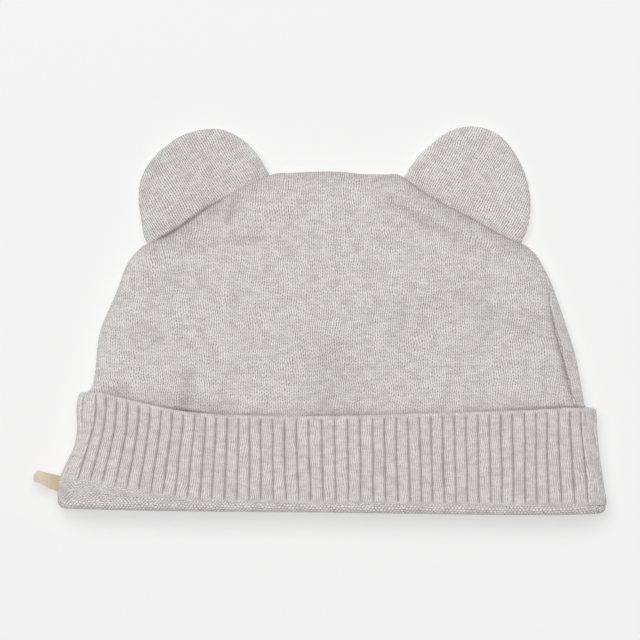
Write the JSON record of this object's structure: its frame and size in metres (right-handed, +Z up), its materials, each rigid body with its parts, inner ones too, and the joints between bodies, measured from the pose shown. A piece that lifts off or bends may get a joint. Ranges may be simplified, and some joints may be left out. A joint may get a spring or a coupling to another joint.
{
  "type": "baby hat with ears",
  "caption": "Soft knitted baby hat with rounded animal ears and a turned-up ribbed cuff, lying flat on its back with the mouth open.",
  "frame": {"origin": "middle of the bounding box, on the plane the hat lies on", "axes": "+X across the hat to the right as its front is looked at, +Y from the cuff towards the ears, +Z up out of the front"},
  "size_m": [0.1914, 0.1296, 0.0159],
  "materials": {
    "grey_jersey": "fine plain-knit jersey in pale heather grey cotton, matt with a soft mottled marl",
    "grey_rib": "two-by-one rib in the same heather yarn, raised columns with darker grooves",
    "beige_ribbon": "plain woven beige ribbon, bare"
  },
  "bodies": {
    "root": {"crown_front": "grey_jersey", "crown_back": "grey_jersey", "cuff_front": "grey_rib", "cuff_back": "grey_rib", "ear_left": "grey_jersey", "ear_right": "grey_jersey", "side_label": "beige_ribbon"}
  },
  "joints": []
}
